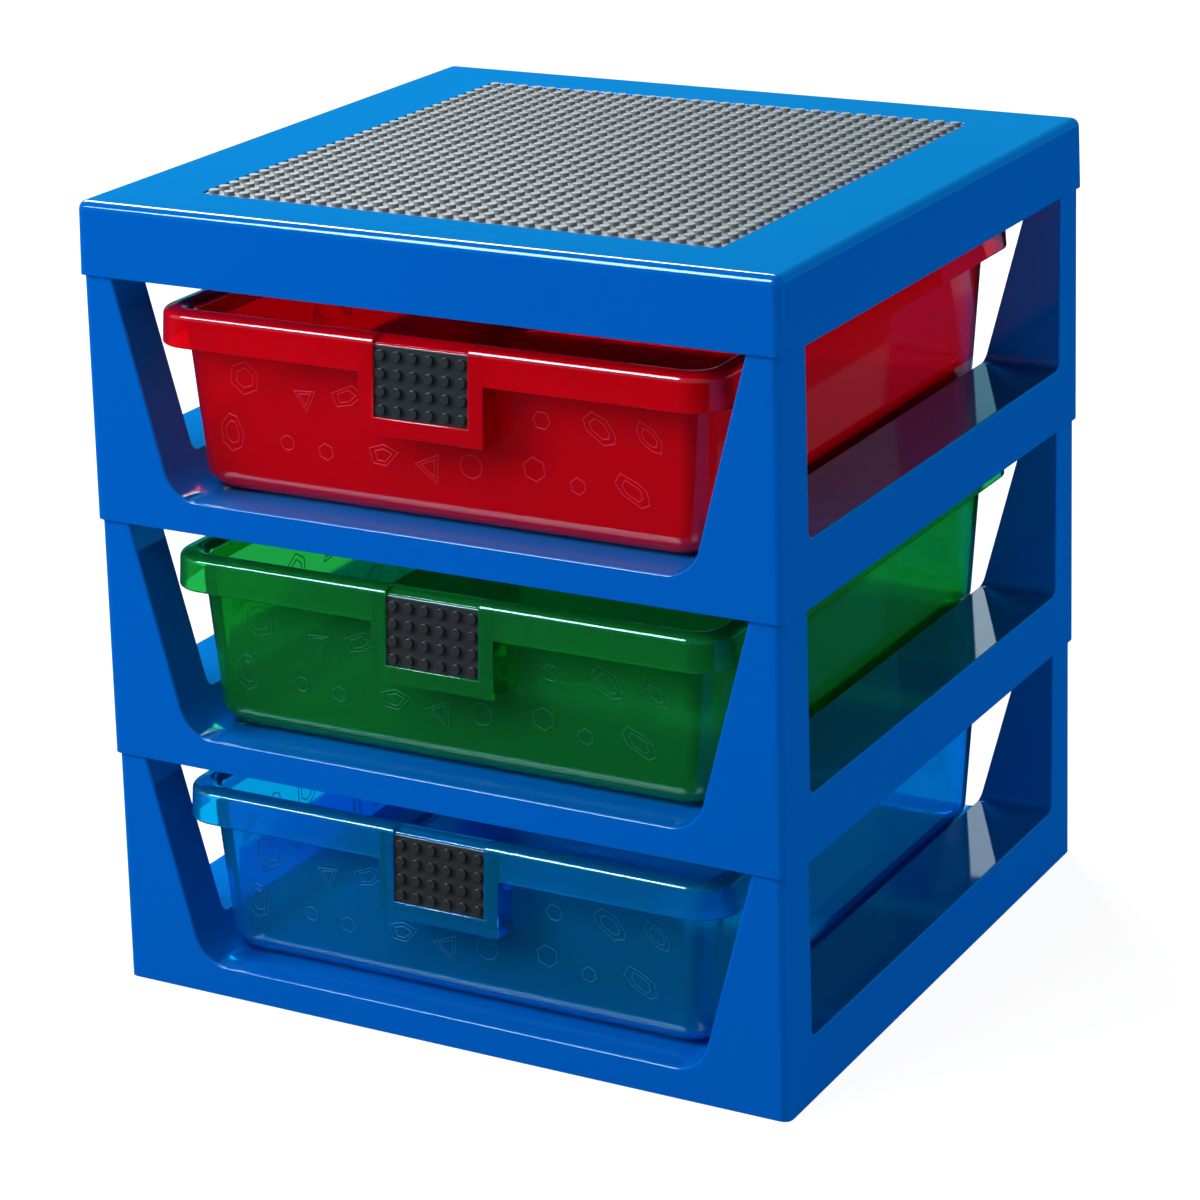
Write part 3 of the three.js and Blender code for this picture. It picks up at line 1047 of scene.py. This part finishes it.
@dataclass(frozen=True)
class Relief:
    """Hairline outlines of plain shapes that stand proud of a drawer's walls.

    They are drawn a little wider and higher than the eye finds them, so that a pixel holds them.
    """

    crest: float = 0.2
    height: float = 0.18
    slope: float = 50.0
    sink: float = 0.12
    radii: dict[Motif, tuple[float, float]] = field(
        default_factory=lambda: {
            Motif.RING: (3.0, 6.0),
            Motif.TRIANGLE: (6.0, 8.0),
            Motif.HEXAGON: (3.5, 8.0),
            Motif.CHIP: (8.0, 11.8),
        }
    )
    nested_share: float = 0.6
    nested_from: float = 6.0
    nested_shift: float = 0.4
    jitter: float = 4.0
    reach: float = 12.1
    pitch: float = 25.0
    row_shift_share: float = 0.25
    rows: tuple[float, float] = (-16.0, -41.0)
    handle_margin: tuple[float, float] = (2.0, 1.0)
    seed: int = 7

    def ribbon(self, outline: Sequence[Point], place: Matrix) -> tuple[list[Vector], list[list[int]]]:
        """Makes the closed rib that follows an outline.

        Args:
            outline: Points of the outline on the wall, anticlockwise.
            place: Place of the wall, with its outward side along Z.

        Returns:
            Points in metres and faces.
        """
        count = len(outline)
        top = self.crest / 2
        foot = top + (self.height + self.sink) / math.tan(math.radians(self.slope))
        section = [(foot, -self.sink), (top, self.height), (-top, self.height), (-foot, -self.sink)]
        points: list[Vector] = []
        for i, here in enumerate(outline):
            before, after = Vector(outline[i - 1]), Vector(outline[(i + 1) % count])
            spot = Vector(here)
            normals = [Vector((d.y, -d.x)).normalized() for d in (spot - before, after - spot)]
            out = normals[0] + normals[1]
            out = out * (2 / out.length_squared)
            points += [place @ Vector((*(spot + out * across), up)) * MM for across, up in section]
        faces = []
        sides = len(section)
        for i in range(count):
            a, b = sides * i, sides * ((i + 1) % count)
            faces += [[a + k, b + k, b + (k + 1) % sides, a + (k + 1) % sides] for k in range(sides)]
        return points, faces

    def build(self, walls: Sequence[tuple[Matrix, float]], gap: tuple[float, float]) -> bpy.types.Object:
        """Builds the outlines of all walls as one object.

        Args:
            walls: Each wall's place, and half the length that it has free. The first is the front.
            gap: Half width and foot of the handle's frame, which the front wall's outlines keep clear of.

        Returns:
            The new object.
        """
        chance = random.Random(self.seed)
        beside, below = self.handle_margin
        points: list[Vector] = []
        faces: list[list[int]] = []
        for index, (place, half) in enumerate(walls):
            count = int(2 * half // self.pitch)
            for row, height in enumerate(self.rows):
                for i in range(count):
                    motif = chance.choice([*Motif, Motif.CHIP, Motif.CHIP])
                    radius = chance.uniform(*self.radii[motif])
                    turn = chance.uniform(0, 2 * math.pi)
                    room = min(self.jitter, self.reach - radius)
                    column = i - (count - 1) / 2 + self.row_shift_share * (-1) ** row
                    x = column * self.pitch + chance.uniform(-room, room)
                    y = height + chance.uniform(-room, room)
                    if index == 0 and abs(x) < gap[0] + radius + beside and y + radius + below > gap[1]:
                        continue
                    shapes = [motif.outline(radius, chance)]
                    if motif is Motif.CHIP or radius > self.nested_from:
                        share, shift = self.nested_share, self.nested_shift
                        shapes.append(
                            [(share * u + chance.uniform(-shift, shift), share * v) for u, v in shapes[0]]
                        )
                    cos, sin = math.cos(turn), math.sin(turn)
                    for shape in shapes:
                        outline = [(x + cos * u - sin * v, y + sin * u + cos * v) for u, v in shape]
                        new_points, new_faces = self.ribbon(outline, place)
                        faces += [[k + len(points) for k in face] for face in new_faces]
                        points += new_points
        mesh = bpy.data.meshes.new("relief")
        mesh.from_pydata(points, [], faces)
        for _ in (TUB_SLOT, LINE_SLOT):
            mesh.materials.append(None)
        mesh.polygons.foreach_set("material_index", [LINE_SLOT] * len(faces))
        return new_object("relief", mesh)


@dataclass(frozen=True)
class Drawer:
    """Tub drawer with a turned-down rim, and a handle frame that holds a small studded plate.

    Its section is drawn inwards from the lip's foot, which is the drawer's widest level.
    """

    width: float = 282.0
    length: float = 321.0
    height: float = 85.5
    wall: float = 2.2
    setback: float = 4.1
    floor_gap: float = 0.4
    body_radius: float = 12.0
    bottom_radius: float = 11.0
    taper: float = 3.1
    overhang: float = 10.4
    rim_radius: float = 18.5
    rim_edge: float = 3.0
    rim_crown: float = 0.7
    rim_inner: float = 5.7
    lip_height: float = 16.4
    lip_draft: float = 0.9
    lip_edge: float = 0.7
    handle_width: float = 62.0
    handle_drop: float = 27.0
    handle_sill: float = 8.3
    handle_lip: float = 1.2
    handle_lip_width: float = 0.7
    handle_edge: float = 0.8
    handle_rounding: float = 0.8
    handle_reach_margin: float = 2.0
    handle_side_margin: float = 0.6
    plate_clearance: float = 0.3
    overrun: float = 5.0
    overlap: float = 0.01
    corner_steps: int = 12
    bottom_steps: int = 12
    rim_steps: int = 8
    lip_inner_steps: int = 3
    lip_outer_steps: int = 4
    plate: StuddedPlate = field(default_factory=lambda: StuddedPlate(columns=6, rows=4, corner=0.6))
    relief: Relief = field(default_factory=Relief)

    @property
    def lip_foot(self) -> float:
        """Height of the lip's lower edge."""
        return self.height - self.lip_height

    @property
    def lip_top(self) -> float:
        """Height at which the lip's face turns over into the rim."""
        return self.height - self.rim_crown - self.rim_edge

    @property
    def lip_lean(self) -> float:
        """Lean of the lip's face, in radians."""
        return math.atan2(self.lip_draft, self.lip_top - self.lip_foot)

    @property
    def plate_foot(self) -> float:
        """Lower edge of the handle's plate, from the lip's foot along the handle's face."""
        return self.handle_sill - self.handle_drop - self.handle_lip_width

    @property
    def plate_face(self) -> float:
        """Depth of the handle's plate behind the handle's face."""
        return self.handle_lip + self.plate_clearance

    def ring(self, inset: float, z: float) -> Ring:
        """Gives the ring at a distance inside the lip's foot."""
        radius = max(self.rim_radius - inset, self.body_radius)
        return Ring(self.width - 2 * inset, self.length - 2 * inset, radius, z)

    def tub(self) -> bpy.types.Object:
        """Makes the tub and its rim as one skin, from the outer bottom over the rim to the inner one.

        Returns:
            The new closed object.
        """
        bottom, rim = self.bottom_radius, self.rim_edge
        centre = self.overhang + self.taper + bottom
        crest = self.overhang + self.wall - self.rim_inner
        under = self.height - self.rim_crown - self.wall
        edge, turn = self.lip_edge, self.lip_foot + self.lip_edge
        section = [
            *arc((centre, bottom), bottom, 270, 180, self.bottom_steps),
            (self.overhang, self.lip_foot),
            (self.overhang, under),
            (self.lip_draft + self.wall, under),
            *arc((self.wall - edge, turn), edge, 0, -90, self.lip_inner_steps),
            *arc((edge, turn), edge, 270, 180, self.lip_outer_steps),
            *arc((self.lip_draft + rim, self.lip_top), rim, 180, 90, self.rim_steps),
            *arc((crest, self.height - self.rim_inner), self.rim_inner, 90, 0, self.rim_steps),
            *arc((centre, bottom), bottom - self.wall, 180, 270, self.bottom_steps),
        ]
        return loft("tub", [self.ring(x, z) for x, z in section], self.corner_steps)

    def handle_place(self) -> Matrix:
        """Gives the place of the handle's pieces, drawn with their face on y = 0 from the lip's foot."""
        place = Matrix.Translation((0, -self.length / 2 * MM, self.lip_foot * MM))
        return place @ Matrix.Rotation(-self.lip_lean, 4, "X")

    def handle_block(self) -> bpy.types.Object:
        """Makes the handle's frame, a block that runs from the lip's face back into the body's wall.

        Returns:
            The new closed object.
        """
        foot, wall = self.lip_foot - self.handle_drop, self.overhang + self.wall / 2
        taper = self.taper * self.handle_drop / (self.lip_foot - self.bottom_radius)
        section = [
            (-self.handle_drop * math.tan(self.lip_lean), foot),
            (wall + taper, foot),
            (wall, self.lip_foot),
            (wall, self.lip_top),
            (self.lip_draft, self.lip_top),
        ]
        frame_block = prism("handle_frame", section, self.handle_width, Plane.ALONG)
        frame_block.data.transform(Matrix.Translation((0, -self.length / 2 * MM, 0)))
        return frame_block

    def handle_cuts(self) -> list[bpy.types.Object]:
        """Makes the cutters of the handle's frame.

        Returns:
            Cutters of its window, of the plate's seat and of the slope above them.
        """
        pitch = self.plate.studs.pitch
        width, height = self.plate.columns * pitch, self.plate.rows * pitch
        half = width / 2 - self.handle_lip_width
        seat_half = width / 2 + self.plate_clearance
        seat_top = self.plate_foot + height + self.plate_clearance
        seat_back = self.plate_face + self.plate.thickness + self.plate_clearance
        edge = seat_top + self.handle_edge
        crest = self.overhang + self.wall - self.rim_inner
        slope = [
            (-self.overrun, edge),
            (self.plate_face, edge),
            (crest, self.lip_height),
            (crest, self.lip_height + self.overrun),
            (-self.overrun, self.lip_height + self.overrun),
        ]
        cuts = [
            block(
                "window",
                (-half, -self.overrun, self.plate_foot + self.handle_lip_width),
                (half, self.plate_face, edge + self.overlap),
            ),
            block(
                "seat",
                (-seat_half, self.handle_lip, self.plate_foot - self.plate_clearance),
                (seat_half, seat_back, seat_top),
            ),
            prism("slope", slope, 2 * half, Plane.ALONG),
        ]
        for cut in cuts:
            cut.data.transform(self.handle_place())
        return cuts

    def walls(self) -> list[tuple[Matrix, float]]:
        """Gives the places of the outlined walls, from their upper edges under the lip.

        Each is the front wall's place, turned by quarters.

        Returns:
            Place and free half length of the front wall, the back one and the left one.
        """
        lean = math.atan2(self.taper, self.lip_foot - self.bottom_radius)
        places = []
        for quarters in (0, 2, 3):
            reach, across = (self.length, self.width) if quarters % 2 == 0 else (self.width, self.length)
            place = (
                Matrix.Rotation(quarters * math.pi / 2, 4, "Z")
                @ Matrix.Translation((0, self.overhang - reach / 2, self.lip_foot))
                @ Matrix.Rotation(lean + math.pi / 2, 4, "X")
            )
            places.append((place, across / 2 - self.overhang - self.taper - self.body_radius))
        return places

    def rounding(self, middle: Vector) -> float:
        """Says how much of the handle's rounding an edge gets.

        Args:
            middle: Middle of the edge in millimetres.

        Returns:
            One on the handle and nought elsewhere.
        """
        front = middle.y < -self.length / 2 + self.overhang - self.handle_reach_margin
        beside = abs(middle.x) < self.handle_width / 2 + self.handle_side_margin
        return 1.0 if front and beside else 0.0

    def build(self) -> bpy.types.Object:
        """Builds the drawer round its own middle, standing on the ground.

        Returns:
            The drawer, with its material slots empty.
        """
        drawer = combine(self.tub(), self.handle_block(), "UNION")
        for cut in self.handle_cuts():
            drawer = combine(drawer, cut, "DIFFERENCE")
        round_edges(drawer, self.rounding, self.handle_rounding)
        for _ in (TUB_SLOT, LINE_SLOT):
            drawer.data.materials.append(None)
        outlines = self.relief.build(self.walls(), (self.handle_width / 2, -self.handle_drop))
        combine(drawer, outlines, "UNION")
        shade(drawer)
        return drawer

    def build_plate(self) -> bpy.types.Object:
        """Builds the handle's plate in its place in the drawer.

        Returns:
            The plate, without a material.
        """
        plate = self.plate.build("handle_plate")
        back = self.plate_face + self.plate.thickness
        middle = self.plate_foot + self.plate.rows * self.plate.studs.pitch / 2
        stand = Matrix.Translation((0, back * MM, middle * MM)) @ Matrix.Rotation(math.pi / 2, 4, "X")
        plate.data.transform(self.handle_place() @ stand)
        return plate


@dataclass(frozen=True)
class DrawerRow:
    """The three drawers in their bays, each with its own colour and side play."""

    drawer: Drawer
    tier: Tier
    shifts: dict[Level, float]

    def place(self, level: Level) -> Vector:
        """Gives the place of a drawer in the stack.

        Args:
            level: Level of its bay.

        Returns:
            Distance in millimetres that takes the drawer from the middle of the ground to its bay.
        """
        y = self.drawer.setback + (self.drawer.length - self.tier.depth) / 2
        z = level.value * self.tier.height + self.tier.floor + self.drawer.floor_gap
        return Vector((self.shifts[level], y, z))

    def dress(self, black: bpy.types.Material) -> None:
        """Sets the drawers and their plates in place of the model's plain ones.

        Args:
            black: Plastic of the handles' plates.
        """
        shape, plate_shape = self.drawer.build(), self.drawer.build_plate()
        for level in Level:
            word, body = level.word, f"drawer_{level.word}"
            drawer = copy_of(shape, f"tub_{word}", self.place(level))
            finish = DRAWER_FINISHES[level]
            drawer.data.materials[TUB_SLOT] = finish.material()
            drawer.data.materials[LINE_SLOT] = finish.line_material()
            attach(drawer, body)
            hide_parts(f"drawer_{word}")
            plate = copy_of(plate_shape, f"studded_grip_{word}", self.place(level))
            plate.data.materials.append(black)
            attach(plate, body)
            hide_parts(f"handle_plate_{word}")
            LOG.info("drawer %s: %d faces", word, len(drawer.data.polygons))
        discard(shape)
        discard(plate_shape)


# Camera, light and floor


@dataclass(frozen=True)
class SoftBox:
    """Rectangular lamp, and the kinds of ray that find it. The camera never sees one.

    It says whether it lights surfaces, whether glossy ones mirror it and whether it shines through
    clear walls, because a lamp that does all three puts gleams where the object has none.
    """

    name: str
    place: Place
    target: Place
    size: Point
    watts: float
    lit: bool = True
    mirrored: bool = True
    through: bool = False
    colour: str = "FFFFFF"

    def add(self) -> None:
        """Adds the lamp to the scene."""
        data = bpy.data.lights.new(self.name, "AREA")
        data.shape = "RECTANGLE"
        data.size, data.size_y = self.size[0] * MM, self.size[1] * MM
        data.energy = self.watts
        data.color = linear(self.colour)[:3]
        obj = new_object(self.name, data)
        obj.location = Vector(self.place) * MM
        facing = Vector(self.target) - Vector(self.place)
        obj.rotation_euler = facing.to_track_quat("-Z", "Y").to_euler()
        obj.visible_camera = False
        obj.visible_diffuse = self.lit
        obj.visible_glossy = self.mirrored
        obj.visible_transmission = self.through


SOFT_BOXES = (
    # Light from the front left, and from high in front
    SoftBox("front_box", (-1950, -1220, 1090), (0, 0, 250), (1200, 1000), 62, mirrored=False, through=True),
    SoftBox("high_front", (-500, -1500, 2150), (0, 0, 250), (900, 900), 24, mirrored=False),
    # The pale band along the lid's front edge and the drawers' rims
    SoftBox("front_gloss", (-1073, -1590, 1825), (0, 0, 300), (800, 950), 75, lit=False, colour="BCE8FF"),
    # Light on the lid's top from behind
    SoftBox("back_box", (-1150, 900, 1600), (0, 0, 330), (1300, 500), 50, through=True),
    # Low light on the posts' inner faces and the right side
    SoftBox("front_fill", (700, -2000, 190), (0, 0, 190), (1200, 300), 10, mirrored=False),
    SoftBox("right_fill", (2000, 500, 190), (0, 0, 190), (900, 300), 24, mirrored=False),
    # Cards that only mirrors see: the white backdrop behind the object, as its side ledges mirror it
    SoftBox("back_card", (-50, 700, 315), (170, 140, 90), (520, 170), 0.5, lit=False, colour="E8F0FF"),
    SoftBox("dim_card", (-50, 700, 436), (170, 140, 260), (520, 68), 0.05, lit=False, colour="D0E8FF"),
)


@dataclass(frozen=True)
class Studio:
    """Camera at the photograph's angle, soft boxes, a pale floor and a white surround."""

    camera_place: Place = (785.94, -1423.27, 739.11)
    camera_turn: Place = (70.4163, 1.4627, 28.4977)
    lens: float = 109.245
    sensor: float = 36.0
    clip: Point = (50.0, 50000.0)
    ambient: float = 0.13
    mirrored: float = 0.5
    mirrored_colour: str = "30E4FF"
    floor_size: float = 12000.0
    floor_tones: tuple[str, str] = ("747474", "787878")
    floor_fibres_per_mm: float = 0.3
    floor_roughness: float = 0.9
    floor_lift: float = 0.925
    floor_fade: Point = (350.0, 1400.0)
    floor_mirrored_colour: str = "082030"

    def camera(self) -> None:
        """Sets up the camera."""
        data = bpy.data.cameras.new("photo_view")
        data.lens, data.sensor_width = self.lens, self.sensor
        data.clip_start, data.clip_end = (distance * MM for distance in self.clip)
        obj = new_object("photo_view", data)
        obj.location = Vector(self.camera_place) * MM
        obj.rotation_euler = [math.radians(a) for a in self.camera_turn]
        bpy.context.scene.camera = obj

    def surround(self) -> None:
        """Makes the surround white where it is seen, pale where it is mirrored, and soft as a light.

        It is white through a clear wall too, but not down a path that a wall has mirrored inside.
        """
        world = bpy.data.worlds.new("surround")
        bpy.context.scene.world = world
        tree = empty_tree(world)
        glossy = add_node(tree, "ShaderNodeLightPath").outputs["Is Glossy Ray"]
        soft = add_node(tree, "ShaderNodeBackground", {"Color": WHITE, "Strength": self.ambient})
        pale = add_node(
            tree, "ShaderNodeBackground", {"Color": linear(self.mirrored_colour), "Strength": self.mirrored}
        )
        white = add_node(tree, "ShaderNodeBackground", {"Color": WHITE, "Strength": 1.0})
        unseen = add_node(tree, "ShaderNodeMixShader", {0: glossy, 1: soft.outputs[0], 2: pale.outputs[0]})
        mixed = add_node(
            tree, "ShaderNodeMixShader", {0: seen_directly(tree), 1: unseen.outputs[0], 2: white.outputs[0]}
        )
        add_node(tree, "ShaderNodeOutputWorld", {"Surface": mixed.outputs[0]})

    def floor(self) -> None:
        """Lays the floor, white round the object with its shadow, and dim where glossy walls mirror it."""
        half = self.floor_size / 2
        points = [(-half, -half, 0), (half, -half, 0), (half, half, 0), (-half, half, 0)]
        floor = mesh_object("floor", points, [range(len(points))])
        material = bpy.data.materials.new("matt_white_board")
        tree = empty_tree(material)
        place = add_node(tree, "ShaderNodeTexCoord").outputs["Object"]
        scale = self.floor_fibres_per_mm / MM
        fibre = add_node(tree, "ShaderNodeTexNoise", {"Vector": place, "Scale": scale})
        dark, pale = (linear(tone) for tone in self.floor_tones)
        tone = add_node(
            tree, "ShaderNodeMix", {0: fibre.outputs["Fac"], 6: dark, 7: pale}, data_type="RGBA"
        )
        glossy = add_node(tree, "ShaderNodeLightPath").outputs["Is Glossy Ray"]
        board = add_node(
            tree,
            "ShaderNodeMix",
            {0: glossy, 6: tone.outputs[2], 7: linear(self.floor_mirrored_colour)},
            data_type="RGBA",
        )
        reach = add_node(tree, "ShaderNodeVectorMath", {0: place}, operation="LENGTH")
        white = add_node(
            tree,
            "ShaderNodeMapRange",
            {
                "Value": reach.outputs["Value"],
                "From Min": self.floor_fade[0] * MM,
                "From Max": self.floor_fade[1] * MM,
                "To Min": self.floor_lift,
                "To Max": 1.0,
            },
            interpolation_type="SMOOTHSTEP",
        )
        lift = add_node(
            tree, "ShaderNodeMath", {0: seen_directly(tree), 1: white.outputs[0]}, operation="MULTIPLY"
        )
        shader = add_node(
            tree,
            "ShaderNodeBsdfPrincipled",
            {
                "Base Color": board.outputs[2],
                "Roughness": self.floor_roughness,
                "Specular IOR Level": 0.0,
                "Emission Color": WHITE,
                "Emission Strength": lift.outputs[0],
            },
        )
        add_node(tree, "ShaderNodeOutputMaterial", {"Surface": shader.outputs[0]})
        floor.data.materials.append(material)

    def build(self) -> None:
        """Sets up the whole studio."""
        self.camera()
        for box in SOFT_BOXES:
            box.add()
        self.surround()
        self.floor()
        bpy.context.scene.view_settings.view_transform = "Standard"


def corners(bounds: tuple[Vector, Vector]) -> list[list[float]]:
    """Turns two corners into plain lists."""
    return [list(corner) for corner in bounds]


def main() -> None:
    """Builds the unit piece by piece."""
    logging.basicConfig(level=logging.INFO, format="%(message)s")
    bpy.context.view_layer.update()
    Studio().build()
    blue, grey, black = (f.material() for f in (FRAME_BLUE, PLATE_GREY, HANDLE_BLACK))
    tier = Tier()
    shape = tier.build()
    for level in Level:
        tier.dress(shape, level, blue)
    discard(shape)
    Lid(tier, StuddedPlate(columns=32, rows=32, corner=3.0)).dress(blue, grey)
    DrawerRow(Drawer(), tier, DRAWER_SHIFTS).dress(black)


if __name__ == "__main__":
    main()
